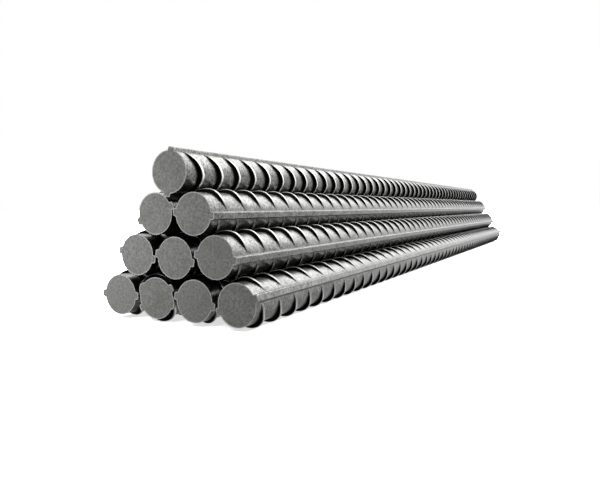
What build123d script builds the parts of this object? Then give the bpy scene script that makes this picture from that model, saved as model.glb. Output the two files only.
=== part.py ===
import os
from math import atan2, cos, degrees, hypot, radians, sin, sqrt

from build123d import *

# Ten ribbed reinforcing bars, stacked in rows of four, three, two and one. The bars lie along Y, the rows
# are level, and Z = 0 is the floor that the bottom row lies on. Each bar above it lies in the groove
# between two bars below. Lengths are in millimetres, angles in degrees, and a section is drawn as it is
# seen from the -Y end, with X to the right and Z up.

# Rolled section of a bar of nominal size 28: a round core, a longitudinal rib along each side, and
# crescent ribs across the two flanks between them, highest at mid flank and run out beside the
# longitudinal ribs. Neighbours bear on the crests of the crescents, so between the plain ends the solid
# goes out to the surface that those crests lie in.
core_diameter = 27.2
crest_height = 2.6
crest_run_out_angle = 10
long_rib_height = 2.1
long_rib_top_width = 4.0
long_rib_root_width = 5.2
long_rib_corner_radius = 0.6

# A cut length, and the plain stretch between each cut face and the nearest crescent
bar_length = 1000.0
plain_end_length = 6.0

# Stack: gap between level longitudinal ribs of neighbours in a row, gap left where a bar bears on
# another, and how far the ends are out of line
side_gap = 0.6
seat_gap = 0.3
end_scatter = 2.0

# One list for each row from the floor up, with its bars from left to right. A turn is the angle of the
# longitudinal ribs from level. A slide share is how far the bar lies back from the -Y end.
row_names = ["bottom", "second", "third", "top"]
row_turns = [[-0.7, 30.7, -10.5, 20.0], [-11.0, -10.5, -6.2], [20.6, -4.9], [82.0]]
row_slide_shares = [[1.0, 0.5, -0.5, -1.0], [0.5, 0.5, -0.5], [0.5, 0.0], [-1.0]]

nesting_steps = 50

core_radius = core_diameter / 2
crest_radius = core_radius + crest_height
long_rib_tip = core_radius + long_rib_height
pitch = 2 * long_rib_tip + side_gap

# A flank's crests lie on a disc whose centre is off the bar's axis toward that flank: it passes through
# the crest at mid flank and through the core where the crescent has run out.
run_out_rise = core_radius * sin(radians(crest_run_out_angle))
crest_disc_offset = (crest_radius**2 - core_radius**2) / (2 * (crest_radius - run_out_rise))
crest_disc_radius = crest_radius - crest_disc_offset


def turned(radius, angle):
    """Place at a distance from the bar's axis, in the section."""
    return radius * cos(radians(angle)), radius * sin(radians(angle))


def section_discs(turn):
    """The section as discs (x, z, radius): core, both flanks' crests, and each longitudinal rib corner."""
    discs = [(0, 0, core_radius)]
    corner_radius = hypot(long_rib_tip, long_rib_top_width / 2)
    corner_angle = degrees(atan2(long_rib_top_width / 2, long_rib_tip))
    for side in (0, 180):
        discs.append((*turned(crest_disc_offset, turn + side + 90), crest_disc_radius))
        for corner in (-corner_angle, corner_angle):
            discs.append((*turned(corner_radius, turn + side + corner), 0))
    return discs


def resting_height(turn, x, below):
    """Lowest height of a bar's axis at x where it still clears the bar below by the seat gap."""
    below_x, below_z, below_turn = below
    heights = []
    for disc_x, disc_z, disc_radius in section_discs(turn):
        for other_x, other_z, other_radius in section_discs(below_turn):
            reach = disc_radius + other_radius + seat_gap
            across = (x + disc_x) - (below_x + other_x)
            if abs(across) < reach:
                heights.append(below_z + other_z - disc_z + sqrt(reach**2 - across**2))
    return max(heights)


def nested(turn, left, right):
    """Place of a bar that bears on both of the bars below it."""
    low, high = left[0], right[0]
    for _ in range(nesting_steps):
        x = (low + high) / 2
        if resting_height(turn, x, left) > resting_height(turn, x, right):
            low = x
        else:
            high = x
    return x, max(resting_height(turn, x, left), resting_height(turn, x, right)), turn


def stack_places():
    """Rows of (x, z, turn), the bottom row on the floor and the whole stack centred on X = 0."""
    bottom_row = []
    for count, turn in enumerate(row_turns[0]):
        height = max(radius - z for x, z, radius in section_discs(turn))
        bottom_row.append((count * pitch, height, turn))
    rows = [bottom_row]
    for turns in row_turns[1:]:
        below = rows[-1]
        rows.append([nested(turn, left, right) for turn, left, right in zip(turns, below, below[1:])])
    bars = [bar for row in rows for bar in row]
    left_edge = min(x + disc_x - radius for x, z, turn in bars for disc_x, disc_z, radius in section_discs(turn))
    right_edge = max(x + disc_x + radius for x, z, turn in bars for disc_x, disc_z, radius in section_discs(turn))
    middle = (left_edge + right_edge) / 2
    return [[(x - middle, z, turn) for x, z, turn in row] for row in rows]


def plain_section():
    """Core with its two longitudinal ribs, as a cut face shows it."""
    root_half, top_half = long_rib_root_width / 2, long_rib_top_width / 2
    root = sqrt(core_radius**2 - root_half**2)
    outline = Polyline(
        (0, -root_half),
        (root, -root_half),
        (long_rib_tip, -top_half),
        (long_rib_tip, top_half),
        (root, root_half),
        (0, root_half),
        close=True,
    )
    rib = make_face(outline)
    rib = fillet(rib.vertices().group_by(Axis.X)[-1], min(long_rib_corner_radius, top_half / 2))
    return Circle(core_radius) + rib + Rot(0, 0, 180) * rib


def crest_section():
    """The plain section grown to the surface that the crescents' crests lie in."""
    upper = Pos(0, crest_disc_offset) * Circle(crest_disc_radius)
    lower = Pos(0, -crest_disc_offset) * Circle(crest_disc_radius)
    return plain_section() + upper + lower


def make_bar(x, z, turn, slide):
    """One bar in its place, plain at its cut ends and out to the crests between them."""
    across = Plane.XZ * Rot(0, 0, turn)
    whole = extrude(across * plain_section(), amount=bar_length / 2, both=True)
    ribbed = extrude(across * crest_section(), amount=bar_length / 2 - plain_end_length, both=True)
    return Pos(x, slide, z) * (whole + ribbed).solid()


os.makedirs("parts", exist_ok=True)
for row_name, row, shares in zip(row_names, stack_places(), row_slide_shares):
    for number, ((x, z, turn), share) in enumerate(zip(row, shares), start=1):
        bar_name = f"{row_name}_bar" if len(row) == 1 else f"{row_name}_bar_{number}"
        bar = make_bar(x, z, turn, share * end_scatter)
        bar.label = bar_name
        export_step(bar, f"parts/{bar_name}.step")
        print(f"{bar_name}: x {x:.2f}, z {z:.2f}, turn {turn}, volume {bar.volume:.0f}")
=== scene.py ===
"""Dresses a stack of ten hot-rolled ribbed reinforcing bars: rolled ribs, sawn ends, mill scale, studio.

Lengths are in metres and angles in degrees. The bars lie along Y, the floor is at Z = 0, and a bar's
section is seen from its -Y end, with X to the right and Z up.
"""

import logging
from dataclasses import dataclass, field
from enum import Enum, IntEnum
from math import atan2, cos, degrees, hypot, radians, sin, sqrt

import bmesh
import bpy
from mathutils import Matrix, Vector


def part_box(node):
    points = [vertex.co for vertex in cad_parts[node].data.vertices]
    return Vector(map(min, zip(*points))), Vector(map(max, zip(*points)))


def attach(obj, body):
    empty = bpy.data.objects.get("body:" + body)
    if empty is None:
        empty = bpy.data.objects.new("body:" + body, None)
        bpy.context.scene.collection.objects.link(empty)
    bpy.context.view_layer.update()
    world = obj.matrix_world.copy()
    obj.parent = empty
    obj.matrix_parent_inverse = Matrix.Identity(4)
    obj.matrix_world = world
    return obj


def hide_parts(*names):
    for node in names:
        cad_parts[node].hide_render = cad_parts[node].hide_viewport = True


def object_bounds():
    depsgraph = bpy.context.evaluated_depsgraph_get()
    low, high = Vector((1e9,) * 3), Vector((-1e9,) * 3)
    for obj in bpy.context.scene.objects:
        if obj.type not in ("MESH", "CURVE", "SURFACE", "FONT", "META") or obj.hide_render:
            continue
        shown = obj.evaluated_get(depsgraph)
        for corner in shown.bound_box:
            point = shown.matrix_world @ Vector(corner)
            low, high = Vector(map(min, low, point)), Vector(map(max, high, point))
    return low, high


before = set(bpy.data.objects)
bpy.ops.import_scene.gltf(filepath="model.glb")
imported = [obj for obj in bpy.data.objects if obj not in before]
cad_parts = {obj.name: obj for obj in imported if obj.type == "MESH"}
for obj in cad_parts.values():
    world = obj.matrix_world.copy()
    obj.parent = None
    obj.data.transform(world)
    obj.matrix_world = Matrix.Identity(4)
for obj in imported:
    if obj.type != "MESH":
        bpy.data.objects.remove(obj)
cad_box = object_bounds()

MM = 0.001
# Points that are nearer to each other than this are one point.
WELD = 0.002 * MM
# A saw cut's points lie nearer to its plane than this.
CUT_PLAY = 2 * WELD
# Attributes of the rolled skin, from 0 to 1: how far it is painted bright, as rubbed wear and a painted
# highlight, and how far it is painted black as shade.
WEAR_AND_HIGHLIGHT = "wear_and_highlight"
PAINTED_SHADE = "painted_shade"
# Sockets of a Mix node that mixes colours, which have the same names as those for other kinds.
MIX_FIRST, MIX_SECOND, MIX_RESULT = 6, 7, 2
log = logging.getLogger("bundle")


def linear(colour: str) -> tuple[float, float, float, float]:
    """Turns an sRGB hex colour into linear light, by the sRGB standard's own curve.

    Args:
        colour: Six hex digits after a hash.

    Returns:
        Red, green, blue and alpha.
    """
    shares = [int(colour[place : place + 2], 16) / 255 for place in (1, 3, 5)]
    return tuple(s / 12.92 if s <= 0.04045 else ((s + 0.055) / 1.055) ** 2.4 for s in shares) + (1.0,)


def between(table: tuple[tuple[float, float], ...], at: float) -> float:
    """Reads a table of (place, value) pairs, straight between its places and level outside them.

    Args:
        table: Pairs in rising order of place.
        at: The place that is asked for.

    Returns:
        The value there.
    """
    low = table[0]
    for high in table:
        if at <= high[0]:
            span = high[0] - low[0]
            return high[1] if span == 0 else low[1] + (high[1] - low[1]) * max(0.0, at - low[0]) / span
        low = high
    return low[1]


def add_node(
    tree: bpy.types.NodeTree, kind: str, sockets: dict[str | int, object] | None = None, **settings: object
) -> bpy.types.Node:
    """Adds one node with its settings, socket values and links.

    Args:
        tree: The node tree that gets it.
        kind: Blender's name for the kind of node.
        sockets: For each input, by name or number, a value or the output that feeds it.
        **settings: The node's own properties.

    Returns:
        The new node.
    """
    node = tree.nodes.new(kind)
    for name, value in settings.items():
        setattr(node, name, value)
    for name, value in (sockets or {}).items():
        if isinstance(value, bpy.types.NodeSocket):
            tree.links.new(value, node.inputs[name])
        else:
            node.inputs[name].default_value = value
    return node


def set_ramp(node: bpy.types.Node, stops: tuple[tuple[float, str], ...]) -> bpy.types.NodeSocket:
    """Gives a colour ramp its stops.

    Args:
        node: The colour ramp node.
        stops: Pairs of position and sRGB hex colour, in rising order.

    Returns:
        The ramp's colour.
    """
    ramp = node.color_ramp
    while len(ramp.elements) < len(stops):
        ramp.elements.new(1.0)
    for element, (position, colour) in zip(ramp.elements, stops):
        element.position = position
        element.color = linear(colour)
    return node.outputs["Color"]


@dataclass(frozen=True)
class Steel:
    """What every steel finish has: its name, how metallic it looks, how rough it is, and its patterns.

    In the finishes that follow, a pattern's size is that of its largest blotches. Its detail and break-up
    are those of its noise, and its edges are the strengths of the noise that are all dark and all light.
    """

    name: str
    metallic: float
    roughness: float

    def dress(self, tree: bpy.types.NodeTree, shader: bpy.types.Node, place: bpy.types.NodeSocket) -> None:
        """Adds the finish's own patterns, of which plain steel has none."""

    def material(self) -> bpy.types.Material:
        """Builds the material.

        Returns:
            The finished material.
        """
        steel = bpy.data.materials.new(self.name)
        steel.use_nodes = True
        tree = steel.node_tree
        shader = tree.nodes["Principled BSDF"]
        shader.inputs["Metallic"].default_value = self.metallic
        shader.inputs["Roughness"].default_value = self.roughness
        self.dress(tree, shader, add_node(tree, "ShaderNodeTexCoord").outputs["Object"])
        return steel


@dataclass(frozen=True)
class MillScale(Steel):
    """Hot-rolled steel under mill scale: a dark satin oxide skin, mottled, with painted light and shade on
    its ribs.

    The near side of each rib and the valley just in front of its foot are painted black as shade, where the
    shade attribute passes its threshold. The crests are painted bright, as rubbed wear and a painted
    highlight.
    Real flecks and grit are a tenth of a millimetre or so. They are drawn coarser here, so that they show.
    """

    name: str = "hot_rolled_mill_scale_steel"
    metallic: float = 0.9
    roughness: float = 0.3
    light: str = "#9a9a98"
    dark: str = "#707070"
    patch: float = 9.0 * MM
    patch_detail: float = 5.0
    patch_breakup: float = 0.6
    patch_edges: tuple[float, float] = (0.3, 0.7)
    fleck_light: str = "#ffffff"
    fleck_dark: str = "#9c9c9a"
    fleck: float = 1.6 * MM
    fleck_detail: float = 2.0
    fleck_breakup: float = 0.7
    fleck_edges: tuple[float, float] = (0.35, 0.6)
    # Painted shade: the black of the ribs' near flanks and of the valley just before their feet.
    painted_shade: str = "#121212"
    shade_from: float = 0.45
    # Crest colour, partly rubbed wear and partly a painted highlight.
    rubbed_and_highlight: str = "#fafaf8"
    grit: float = 0.9 * MM
    grit_detail: float = 3.0
    grit_breakup: float = 0.6
    grit_depth: float = 0.05 * MM
    grit_strength: float = 0.6

    def mottling(self, tree: bpy.types.NodeTree, place: bpy.types.NodeSocket) -> bpy.types.NodeSocket:
        """Adds the tones of whole scale: wide patches, darkened by small flecks.

        Args:
            tree: The material's node tree.
            place: Object coordinates.

        Returns:
            The colour.
        """
        patches = add_node(
            tree,
            "ShaderNodeTexNoise",
            {
                "Vector": place,
                "Scale": 1 / self.patch,
                "Detail": self.patch_detail,
                "Roughness": self.patch_breakup,
            },
        )
        flecks = add_node(
            tree,
            "ShaderNodeTexNoise",
            {
                "Vector": place,
                "Scale": 1 / self.fleck,
                "Detail": self.fleck_detail,
                "Roughness": self.fleck_breakup,
            },
        )
        tone = set_ramp(
            add_node(tree, "ShaderNodeValToRGB", {"Fac": patches.outputs["Fac"]}),
            tuple(zip(self.patch_edges, (self.dark, self.light))),
        )
        fleck_tone = set_ramp(
            add_node(tree, "ShaderNodeValToRGB", {"Fac": flecks.outputs["Fac"]}),
            tuple(zip(self.fleck_edges, (self.fleck_dark, self.fleck_light))),
        )
        mottled = add_node(
            tree,
            "ShaderNodeMix",
            {"Factor": 1.0, MIX_FIRST: tone, MIX_SECOND: fleck_tone},
            data_type="RGBA",
            blend_type="MULTIPLY",
        )
        return mottled.outputs[MIX_RESULT]

    def shade_and_highlight(self, tree: bpy.types.NodeTree, whole: bpy.types.NodeSocket) -> bpy.types.NodeSocket:
        """Paints the ribs' near flanks black as shade, and brightens the crests as wear and a painted
        highlight.

        Args:
            tree: The material's node tree.
            whole: The colour of whole scale.

        Returns:
            The colour.
        """
        # Painted shade, black on the ribs' near flanks and just in front of their feet.
        painted_shade = add_node(tree, "ShaderNodeAttribute", attribute_name=PAINTED_SHADE)
        share = add_node(
            tree, "ShaderNodeMapRange", {"Value": painted_shade.outputs["Fac"], "From Min": self.shade_from}
        )
        shaded = add_node(
            tree,
            "ShaderNodeMix",
            {"Factor": share.outputs["Result"], MIX_FIRST: whole, MIX_SECOND: linear(self.painted_shade)},
            data_type="RGBA",
        )
        # Crests brightened, as rubbed wear and a painted highlight.
        wear_and_highlight = add_node(tree, "ShaderNodeAttribute", attribute_name=WEAR_AND_HIGHLIGHT)
        worn_and_highlit = add_node(
            tree,
            "ShaderNodeMix",
            {
                "Factor": wear_and_highlight.outputs["Fac"],
                MIX_FIRST: shaded.outputs[MIX_RESULT],
                MIX_SECOND: linear(self.rubbed_and_highlight),
            },
            data_type="RGBA",
        )
        return worn_and_highlit.outputs[MIX_RESULT]

    def dress(self, tree: bpy.types.NodeTree, shader: bpy.types.Node, place: bpy.types.NodeSocket) -> None:
        """Adds the mottled colour and the grit.

        Args:
            tree: The material's node tree.
            shader: The shader that the patterns feed.
            place: Object coordinates.
        """
        grit = add_node(
            tree,
            "ShaderNodeTexNoise",
            {
                "Vector": place,
                "Scale": 1 / self.grit,
                "Detail": self.grit_detail,
                "Roughness": self.grit_breakup,
            },
        )
        relief = add_node(
            tree,
            "ShaderNodeBump",
            {"Height": grit.outputs["Fac"], "Distance": self.grit_depth, "Strength": self.grit_strength},
        )
        tree.links.new(self.shade_and_highlight(tree, self.mottling(tree, place)), shader.inputs["Base Color"])
        tree.links.new(relief.outputs["Normal"], shader.inputs["Normal"])


@dataclass(frozen=True)
class SawnSteel(Steel):
    """Sawn steel end, gone dull: flat mid grey, finely mottled, with faint patches of a slight tarnish.

    The real grain of a sawn face is far finer than the mottling, which is drawn coarse so that it shows.
    """

    name: str = "sawn_tarnished_steel"
    metallic: float = 0.4
    roughness: float = 0.5
    light: str = "#b9b9b7"
    dark: str = "#8e8f8b"
    cloud: float = 1.5 * MM
    cloud_detail: float = 5.0
    cloud_breakup: float = 0.65
    cloud_edges: tuple[float, float] = (0.36, 0.64)
    tarnish: str = "#8c8c80"
    tarnish_patch: float = 12.0 * MM
    tarnish_detail: float = 2.0
    tarnish_edges: tuple[float, float] = (0.5, 0.75)
    most_tarnish: float = 0.5

    def dress(self, tree: bpy.types.NodeTree, shader: bpy.types.Node, place: bpy.types.NodeSocket) -> None:
        """Adds the mottling and the tarnish over it.

        Args:
            tree: The material's node tree.
            shader: The shader that the patterns feed.
            place: Object coordinates.
        """
        cloud = add_node(
            tree,
            "ShaderNodeTexNoise",
            {
                "Vector": place,
                "Scale": 1 / self.cloud,
                "Detail": self.cloud_detail,
                "Roughness": self.cloud_breakup,
            },
        )
        tone = set_ramp(
            add_node(tree, "ShaderNodeValToRGB", {"Fac": cloud.outputs["Fac"]}),
            tuple(zip(self.cloud_edges, (self.dark, self.light))),
        )
        patch = add_node(
            tree,
            "ShaderNodeTexNoise",
            {"Vector": place, "Scale": 1 / self.tarnish_patch, "Detail": self.tarnish_detail},
        )
        clean, tarnished = self.tarnish_edges
        share = add_node(
            tree,
            "ShaderNodeMapRange",
            {
                "Value": patch.outputs["Fac"],
                "From Min": clean,
                "From Max": tarnished,
                "To Max": self.most_tarnish,
            },
        )
        tint = add_node(
            tree,
            "ShaderNodeMix",
            {"Factor": share.outputs["Result"], MIX_FIRST: tone, MIX_SECOND: linear(self.tarnish)},
            data_type="RGBA",
        )
        tree.links.new(tint.outputs[MIX_RESULT], shader.inputs["Base Color"])


@dataclass(frozen=True)
class SawnEdgeHighlight(SawnSteel):
    """Band round the sawn face: the same steel, painted nearly white as a highlight along the face's edge.
    """

    name: str = "painted_edge_highlight_steel"
    light: str = "#f2f2f0"
    dark: str = "#dadad8"
    tarnish: str = "#c8c8bc"


class Finish(IntEnum):
    """A bar's finishes, each as its place among the bar's materials."""

    ROLLED = 0
    SAWN = 1
    # Band round the sawn face, painted nearly white as an edge highlight.
    EDGE_HIGHLIGHT = 2


@dataclass(frozen=True)
class RolledSection:
    """Section of a bar of nominal size 28: a round core, two longitudinal ribs, and crescents between.

    A longitudinal rib's rounded corner is one point between its ends. The inset is how far this point
    stands in from the sharp corner, and the splay how far the flank is wider just below it, both as
    shares of the corner's radius.
    """

    core_diameter: float = 27.2 * MM
    crest_height: float = 2.6 * MM
    run_out_angle: float = 15.0
    long_rib_height: float = 2.1 * MM
    long_rib_top_width: float = 4.6 * MM
    long_rib_root_width: float = 5.6 * MM
    long_rib_corner_radius: float = 0.6 * MM
    corner_inset: float = 0.3
    corner_splay: float = 0.1
    flank_steps: int = 28

    @property
    def core_radius(self) -> float:
        """Radius of the round core."""
        return self.core_diameter / 2

    def crescent_height(self, angle: float) -> float:
        """Height of a crescent's crest over the core: the crests lie on a circle that is set off from it.

        Args:
            angle: Angle from the longitudinal rib that the flank starts at.

        Returns:
            The height, none where the crescent has run out.
        """
        core, crest = self.core_radius, self.core_radius + self.crest_height
        offset = (crest**2 - core**2) / (2 * (crest - core * sin(radians(self.run_out_angle))))
        disc = crest - offset
        reach = offset * abs(sin(radians(angle))) + sqrt(disc**2 - (offset * cos(radians(angle))) ** 2)
        return max(0.0, reach - core)

    def long_rib_outline(self) -> list[tuple[float, float]]:
        """Outline of a longitudinal rib, from its lower root to its upper one.

        Returns:
            Pairs of distance out from the bar's axis and height over the rib's middle.
        """
        root, top = self.long_rib_root_width / 2, self.long_rib_top_width / 2
        base = sqrt(self.core_radius**2 - root**2)
        tip = self.core_radius + self.long_rib_height
        corner = self.long_rib_corner_radius
        inset, splay = self.corner_inset * corner, self.corner_splay * corner
        upper = [
            (tip, top - corner),
            (tip - inset, top - inset),
            (tip - corner, top + splay),
            ((base + tip) / 2, (root + top) / 2),
            (base, root),
        ]
        return [(out, -rise) for out, rise in reversed(upper)] + [(tip, 0.0)] + upper

    def stations(self) -> list[tuple[float, float]]:
        """Points of the plain section, once round from the right longitudinal rib's lower root.

        Returns:
            Pairs of angle from the right longitudinal rib and distance from the axis.
        """
        rib = [(degrees(atan2(rise, out)), hypot(out, rise)) for out, rise in self.long_rib_outline()]
        first, last = rib[-1][0], 180 + rib[0][0]
        step = (last - first) / self.flank_steps
        flank = [(first + step * count, self.core_radius) for count in range(1, self.flank_steps)]
        return [(angle + half, out) for half in (0, 180) for angle, out in rib + flank]


@dataclass(frozen=True)
class CrescentRibs:
    """Crescent ribs along a flank: their spacing, profile across, lean, and the light and shade painted on
    them.

    A rib's crest has the same width all along. Its two flanks keep their slope, so they grow narrower
    as the crescent runs out. The profile is three tables of a share of the width and a share of the
    height: for the near flank from its foot, for the crest, and for the far flank to its foot. The lean
    gives how far along the bar a rib lies, by the angle from the longitudinal rib that its flank starts
    at. The first rings, on the near flank, are painted black as shade, and fully so where the crescent
    has at least the height that is named for it. What stands above a share of the height is painted
    bright, as rubbed wear and a painted highlight.
    """

    spacing: float = 21.2 * MM
    near_crest: float = 0.5 * MM
    far_crest: float = 2.0 * MM
    near_run: float = 1.6 * MM
    far_run: float = 1.9 * MM
    near_shares: tuple[tuple[float, float], ...] = ((1.0, 0.0), (0.22, 0.82), (0.12, 0.9), (0.0, 0.98))
    crest_shares: tuple[tuple[float, float], ...] = ((0.0, 1.0), (0.5, 0.95), (1.0, 0.82))
    far_shares: tuple[tuple[float, float], ...] = ((0.65, 0.22), (1.0, 0.0))
    valley_steps: int = 3
    # Painted shade on the near flank's first rings, and wear with a painted highlight on the crest.
    shaded_rings: int = 2
    full_shade_from_height: float = 1.3 * MM
    wear_and_highlight_from_share: float = 0.45
    wear_and_highlight_power: int = 2
    lean: tuple[tuple[float, float], ...] = (
        (10.0, 1.0 * MM),
        (30.0, -1.4 * MM),
        (50.0, -2.6 * MM),
        (75.0, -2.2 * MM),
        (90.0, -2.4 * MM),
        (100.0, -3.3 * MM),
        (120.0, -5.2 * MM),
        (135.0, -7.6 * MM),
        (170.0, -10.0 * MM),
    )
    flank_offsets: tuple[float, float] = (0.0, 1.5 * MM)

    def rings(self) -> list[tuple[float, float, float]]:
        """Rings of points across one spacing, from a rib's near foot to the next one's.

        Returns:
            For each ring its distance along the bar from the rib's middle where the crescent has run
            out, how much further along it lies at the full height, and its share of the height.
        """
        near, far = self.near_crest, self.far_crest
        rings = [(-near, -run * self.near_run, rise) for run, rise in self.near_shares]
        rings += [(far * share, 0.0, rise) for share, rise in self.crest_shares]
        rings += [(far, run * self.far_run, rise) for run, rise in self.far_shares]
        for count in range(1, self.valley_steps):
            share = count / self.valley_steps
            level = far + (self.spacing - near - far) * share
            rings.append((level, self.far_run * (1 - share) - self.near_run * share, 0.0))
        return rings

    def shift(self, angle: float) -> float:
        """How far along the bar the pattern lies at an angle round it.

        Args:
            angle: Angle from the right longitudinal rib, from just under none up to a full turn.

        Returns:
            The distance, blended across the longitudinal ribs from one flank to the other.
        """
        turns, half = divmod(angle, 180.0)
        flank = int(turns) % 2
        low, high = self.lean[0], self.lean[-1]
        if low[0] <= half <= high[0]:
            return between(self.lean, half) + self.flank_offsets[flank]
        before = flank if half > high[0] else 1 - flank
        start = high[1] + self.flank_offsets[before]
        finish = low[1] + self.flank_offsets[1 - before]
        across = (half - high[0]) % 180.0
        return start + (finish - start) * across / (180.0 + low[0] - high[0])

    def shade_depth(self, ring: int, height: float) -> float:
        """How black a ring is painted as shade, from 0 to 1, by the crescent's height over the core."""
        return min(1.0, height / self.full_shade_from_height) if ring < self.shaded_rings else 0.0

    def brightness(self, ring: int, rise: float, fullness: float) -> float:
        """How far the skin is painted bright, as rubbed wear and a painted highlight.

        Args:
            ring: Which of the rings it is on.
            rise: That ring's share of the height.
            fullness: The crescent's height there, as a share of its full height.

        Returns:
            A share from 0 to 1, which fades as the crescent runs out.
        """
        if ring < self.shaded_rings or rise < self.wear_and_highlight_from_share:
            return 0.0
        return (rise - self.wear_and_highlight_from_share) / (1 - self.wear_and_highlight_from_share) * fullness**self.wear_and_highlight_power


@dataclass
class RibbedRod:
    """Endless-looking rolled surface, around the Y axis, that every bar is sawn from."""

    section: RolledSection = field(default_factory=RolledSection)
    ribs: CrescentRibs = field(default_factory=CrescentRibs)

    def grid(self, stations: int, rings: int) -> bmesh.types.BMesh:
        """Lays out the faces of one rib spacing, with the points' numbers for their places.

        Args:
            stations: How many points there are round the section.
            rings: How many rings of points there are before the next spacing's first.

        Returns:
            A closed band of quads, whose X counts the stations and whose Y counts the rings.
        """
        mesh = bmesh.new()
        circle = bmesh.ops.create_circle(mesh, segments=stations, radius=1.0)["verts"]
        for station, vert in enumerate(circle):
            vert.co = (station, 0.0, 0.0)
        bmesh.ops.spin(
            mesh,
            geom=mesh.verts[:] + mesh.edges[:],
            cent=(0, 0, 0),
            axis=(0, 1, 0),
            dvec=(0, 1, 0),
            angle=0,
            steps=rings,
            use_merge=False,
            use_normal_flip=False,
            use_duplicate=False,
        )
        return mesh

    def cell(self) -> bmesh.types.BMesh:
        """Shapes one rib spacing of the surface, with its longitudinal ribs level.

        Returns:
            The surface from one rib's near foot to the next one's, open at both ends.
        """
        stations = self.section.stations()
        rings = self.ribs.rings()
        mesh = self.grid(len(stations), len(rings))
        wear_and_highlight, painted_shade = (mesh.verts.layers.float.new(name) for name in (WEAR_AND_HIGHLIGHT, PAINTED_SHADE))
        for vert in mesh.verts:
            angle, out = stations[round(vert.co.x)]
            spacings, ring = divmod(round(vert.co.y), len(rings))
            level, run, rise = rings[ring]
            height = self.section.crescent_height(angle)
            fullness = height / self.section.crest_height
            # Near flank painted black as shade; crest painted bright as wear and a painted highlight.
            vert[painted_shade] = self.ribs.shade_depth(ring, height)
            vert[wear_and_highlight] = self.ribs.brightness(ring, rise, fullness)
            along = level + run * fullness + spacings * self.ribs.spacing
            out = max(out, self.section.core_radius + height * rise)
            vert.co = (
                out * cos(radians(angle)),
                along + self.ribs.shift(angle),
                out * sin(radians(angle)),
            )
        return mesh

    def rolled(self, length: float) -> bmesh.types.BMesh:
        """Repeats the cell until the rod is at least as long as asked for.

        Args:
            length: The least length, from the first rib's middle.

        Returns:
            The welded rod, open at both ends, with a rib's middle at Y = 0.
        """
        rod = self.cell()
        cells = 1
        while cells * self.ribs.spacing < length:
            twin = bmesh.ops.duplicate(rod, geom=rod.verts[:] + rod.edges[:] + rod.faces[:])["geom"]
            moved = [part for part in twin if isinstance(part, bmesh.types.BMVert)]
            bmesh.ops.translate(rod, verts=moved, vec=(0, cells * self.ribs.spacing, 0))
            cells *= 2
        bmesh.ops.remove_doubles(rod, verts=rod.verts[:], dist=WELD)
        return rod


@dataclass
class Bar:
    """One bar: its CAD node, the turn of its ribs, and how far its first rib lies from the near end."""

    node: str
    turn: float
    first_rib: float = 15.0 * MM
    edge_highlight_width: float = 0.6 * MM
    sharp_angle: float = 20.0

    def saw(self, mesh: bmesh.types.BMesh, at: float, outward: int) -> None:
        """Saws the bar off square and closes the cut, with a narrow painted edge highlight round the sawn
        face.

        Args:
            mesh: The bar's surface.
            at: Where the cut is along Y.
            outward: The sign of the side that falls off.
        """
        bmesh.ops.bisect_plane(
            mesh,
            geom=mesh.verts[:] + mesh.edges[:] + mesh.faces[:],
            dist=WELD,
            plane_co=(0, at, 0),
            plane_no=(0, outward, 0),
            clear_outer=True,
        )
        cut = [
            edge
            for edge in mesh.edges
            if edge.is_boundary and all(abs(vert.co.y - at) < CUT_PLAY for vert in edge.verts)
        ]
        face = bmesh.ops.edgeloop_fill(mesh, edges=cut)["faces"][0]
        face.material_index = Finish.SAWN
        # The band round the sawn face is painted nearly white as an edge highlight.
        edge_highlight = bmesh.ops.inset_region(
            mesh, faces=[face], thickness=self.edge_highlight_width, depth=0.0, use_even_offset=True
        )
        for part in edge_highlight["faces"]:
            part.material_index = Finish.EDGE_HIGHLIGHT

    def shape(self, rod: bmesh.types.BMesh, spare: float) -> bpy.types.Mesh:
        """Saws the bar from the rod and puts it in its place.

        Args:
            rod: The rolled surface, with a rib's middle at Y = 0 and longer than the bar.
            spare: How much of the rod lies before the bar's first rib.

        Returns:
            The bar's mesh, with each face's finish.
        """
        low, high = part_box(self.node)
        middle = (low + high) / 2
        mesh = rod.copy()
        bmesh.ops.translate(mesh, verts=mesh.verts, vec=(0, low.y + self.first_rib - spare, 0))
        self.saw(mesh, low.y, -1)
        self.saw(mesh, high.y, 1)
        place = Matrix.Translation((middle.x, 0, middle.z)) @ Matrix.Rotation(-radians(self.turn), 4, "Y")
        bmesh.ops.transform(mesh, matrix=place, verts=mesh.verts)
        bmesh.ops.recalc_face_normals(mesh, faces=mesh.faces)
        for face in mesh.faces:
            face.smooth = face.material_index == Finish.ROLLED
        for edge in mesh.edges:
            edge.smooth = edge.calc_face_angle(0.0) < radians(self.sharp_angle)
        data = bpy.data.meshes.new(self.node + "_ribbed")
        mesh.to_mesh(data)
        mesh.free()
        return data

    def build(
        self, rod: bmesh.types.BMesh, spare: float, materials: dict[Finish, bpy.types.Material]
    ) -> bpy.types.Object:
        """Makes the bar in its place and dresses it.

        Args:
            rod: The rolled surface, with a rib's middle at Y = 0 and longer than the bar.
            spare: How much of the rod lies before the bar's first rib.
            materials: The material of each finish.

        Returns:
            The finished piece, riding on the bundle in place of its CAD node.
        """
        data = self.shape(rod, spare)
        for finish in Finish:
            data.materials.append(materials[finish])
        piece = bpy.data.objects.new(self.node + "_ribbed", data)
        bpy.context.scene.collection.objects.link(piece)
        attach(piece, "root")
        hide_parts(self.node)
        return piece


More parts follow.
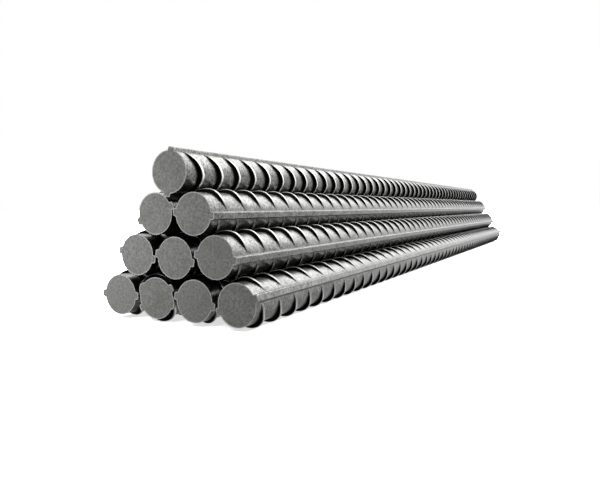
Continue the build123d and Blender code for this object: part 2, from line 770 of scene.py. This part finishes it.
@dataclass
class Bundle:
    """The stack of ten bars. A turn is the angle of a bar's longitudinal ribs from level."""

    bars: tuple[Bar, ...] = (
        Bar("bottom_bar_1", -0.7),
        Bar("bottom_bar_2", 30.7, 5.5 * MM),
        Bar("bottom_bar_3", -10.5),
        Bar("bottom_bar_4", 20.0, 14.2 * MM),
        Bar("second_bar_1", -11.0),
        Bar("second_bar_2", -10.5),
        Bar("second_bar_3", -6.2, 15.5 * MM),
        Bar("third_bar_1", 20.6, 16.8 * MM),
        Bar("third_bar_2", -4.9, 16.8 * MM),
        Bar("top_bar", 82.0, 15.0 * MM),
    )
    spare_spacings: int = 3

    def build(self) -> list[bpy.types.Object]:
        """Makes every bar from one rod, which is longer than the bundle by spare spacings at both ends.

        Returns:
            The bars' pieces.
        """
        materials = {
            Finish.ROLLED: MillScale().material(),
            Finish.SAWN: SawnSteel().material(),
            Finish.EDGE_HIGHLIGHT: SawnEdgeHighlight().material(),
        }
        rod_plan = RibbedRod()
        spare = self.spare_spacings * rod_plan.ribs.spacing
        low, high = cad_box
        rod = rod_plan.rolled(high.y - low.y + 2 * spare)
        pieces = [bar.build(rod, spare, materials) for bar in self.bars]
        rod.free()
        return pieces


class Lights(Enum):
    """What a studio lamp lights, with the kind of lamp that does it: a soft square one, or a sun."""

    BARS = "AREA"
    FLOOR = "SUN"


@dataclass(frozen=True)
class Lamp:
    """A lamp that faces the bundle's middle, given by its way from there.

    Its size is a soft lamp's side, or the angle that a sun's disc spans. Its power is in watts, and for
    a sun in watts a square metre.
    """

    name: str
    way: tuple[float, float, float]
    distance: float
    size: float
    power: float
    lights: Lights = Lights.BARS

    def build(self, target: Vector, seen_by: bpy.types.Collection) -> bpy.types.Object:
        """Hangs the lamp.

        Args:
            target: The point that it faces.
            seen_by: The objects that it lights.

        Returns:
            The lamp.
        """
        data = bpy.data.lights.new(self.name, self.lights.value)
        if self.lights is Lights.BARS:
            data.shape = "SQUARE"
            data.size = self.size
        else:
            data.angle = radians(self.size)
        data.energy = self.power
        lamp = bpy.data.objects.new(self.name, data)
        way = Vector(self.way).normalized()
        lamp.location = target + way * self.distance
        lamp.rotation_euler = way.to_track_quat("Z", "Y").to_euler()
        bpy.context.scene.collection.objects.link(lamp)
        lamp.light_linking.receiver_collection = seen_by
        return lamp


@dataclass
class Studio:
    """Pale floor, white backdrop, sky, lamps and the camera.

    The sky lights the bars and isn't seen. Its colours run from 0, opposite its brightest way, to 1,
    along that way. The floor's glow keeps the bars' shadow on it pale. The camera's place, angles and
    focal length were fitted to the bars' ends in the photograph.
    """

    floor_span: float = 60.0
    floor_colour: str = "#f2f2f2"
    floor_roughness: float = 0.9
    floor_glow: float = 0.75
    backdrop: str = "#ffffff"
    sky: tuple[tuple[float, str], ...] = (
        (0.50, "#202020"),
        (0.60, "#545454"),
        (0.72, "#707070"),
        (0.84, "#7a7a7a"),
        (0.92, "#a0a0a0"),
        (0.98, "#dcdcdc"),
    )
    sky_way: tuple[float, float, float] = (0.10, 0.70, 0.70)
    sky_strength: float = 5.6
    azimuth: float = 26.97
    elevation: float = 3.18
    roll: float = -0.40
    focal_pixels: float = 571.3
    image_width_pixels: int = 600
    sensor_width_mm: float = 36.0
    camera_place: tuple[float, float, float] = (234.44 * MM, -784.65 * MM, 73.43 * MM)
    lamps: tuple[Lamp, ...] = (
        Lamp("front_fill", (-0.735, -0.678, 0.0), 1.77, 0.6, 7.2),
        Lamp("floor_sun", (0.0, 0.0, 1.0), 6.0, 90.0, 30.0, Lights.FLOOR),
    )

    def build_floor(self) -> bpy.types.Object:
        """Lays the floor, which the bars neither mirror nor get light from.

        Returns:
            The floor.
        """
        mesh = bmesh.new()
        bmesh.ops.create_grid(mesh, x_segments=1, y_segments=1, size=self.floor_span / 2)
        data = bpy.data.meshes.new("studio_floor")
        mesh.to_mesh(data)
        mesh.free()
        paint = bpy.data.materials.new("matt_white_studio_paint")
        paint.use_nodes = True
        inputs = paint.node_tree.nodes["Principled BSDF"].inputs
        inputs["Base Color"].default_value = linear(self.floor_colour)
        inputs["Roughness"].default_value = self.floor_roughness
        inputs["Emission Color"].default_value = linear(self.floor_colour)
        inputs["Emission Strength"].default_value = self.floor_glow
        data.materials.append(paint)
        floor = bpy.data.objects.new("studio_floor", data)
        floor.visible_diffuse = False
        floor.visible_glossy = False
        floor.visible_shadow = False
        bpy.context.scene.collection.objects.link(floor)
        return floor

    def build_world(self) -> None:
        """Sets the white backdrop that the camera sees and the softer sky that lights the bars."""
        world = bpy.data.worlds.new("studio")
        world.use_nodes = True
        tree = world.node_tree
        tree.nodes.clear()
        seen = add_node(tree, "ShaderNodeBackground", {"Color": linear(self.backdrop), "Strength": 1.0})
        way = add_node(tree, "ShaderNodeTexCoord").outputs["Generated"]
        toward = add_node(
            tree,
            "ShaderNodeVectorMath",
            {0: way, 1: Vector(self.sky_way).normalized()},
            operation="DOT_PRODUCT",
        )
        share = add_node(
            tree, "ShaderNodeMapRange", {"Value": toward.outputs["Value"], "From Min": -1.0, "From Max": 1.0}
        )
        sky = set_ramp(add_node(tree, "ShaderNodeValToRGB", {"Fac": share.outputs["Result"]}), self.sky)
        light = add_node(tree, "ShaderNodeBackground", {"Color": sky, "Strength": self.sky_strength})
        path = add_node(tree, "ShaderNodeLightPath")
        either = add_node(
            tree,
            "ShaderNodeMixShader",
            {0: path.outputs["Is Camera Ray"], 1: light.outputs[0], 2: seen.outputs[0]},
        )
        add_node(tree, "ShaderNodeOutputWorld", {"Surface": either.outputs[0]})
        bpy.context.scene.world = world

    def build_camera(self) -> bpy.types.Object:
        """Sets the camera where the photograph was taken from.

        Returns:
            The camera.
        """
        data = bpy.data.cameras.new("camera")
        data.sensor_fit = "HORIZONTAL"
        data.sensor_width = self.sensor_width_mm
        data.lens = self.focal_pixels / self.image_width_pixels * self.sensor_width_mm
        camera = bpy.data.objects.new("camera", data)
        level, lift = radians(self.azimuth), radians(self.elevation)
        ahead = Vector((-sin(level) * cos(lift), cos(level) * cos(lift), -sin(lift)))
        right = ahead.cross(Vector((0, 0, 1))).normalized()
        above = right.cross(ahead)
        lean = radians(self.roll)
        across = right * cos(lean) + above * sin(lean)
        upward = above * cos(lean) - right * sin(lean)
        axes = Matrix((across, upward, -ahead)).transposed().to_4x4()
        camera.matrix_world = Matrix.Translation(self.camera_place) @ axes
        bpy.context.scene.collection.objects.link(camera)
        bpy.context.scene.camera = camera
        return camera

    def build(self, bars: list[bpy.types.Object], target: Vector) -> None:
        """Builds the whole studio.

        Args:
            bars: The bars' pieces.
            target: The point that the lamps face.
        """
        groups = {kind: bpy.data.collections.new("lit_" + kind.name.lower()) for kind in Lights}
        groups[Lights.FLOOR].objects.link(self.build_floor())
        for bar in bars:
            groups[Lights.BARS].objects.link(bar)
        self.build_world()
        for lamp in self.lamps:
            lamp.build(target, groups[lamp.lights])
        self.build_camera()
        bpy.context.scene.view_settings.view_transform = "Standard"


def main() -> None:
    """Builds the bundle and its studio."""
    logging.basicConfig(level=logging.INFO, format="%(message)s")
    bars = Bundle().build()
    for bar in bars:
        log.info("%s: %d faces", bar.name, len(bar.data.polygons))
    low, high = cad_box
    studio = Studio()
    studio.build(bars, (low + high) / 2)
    log.info("studio: %d lamps", len(studio.lamps))


if __name__ == "__main__":
    main()
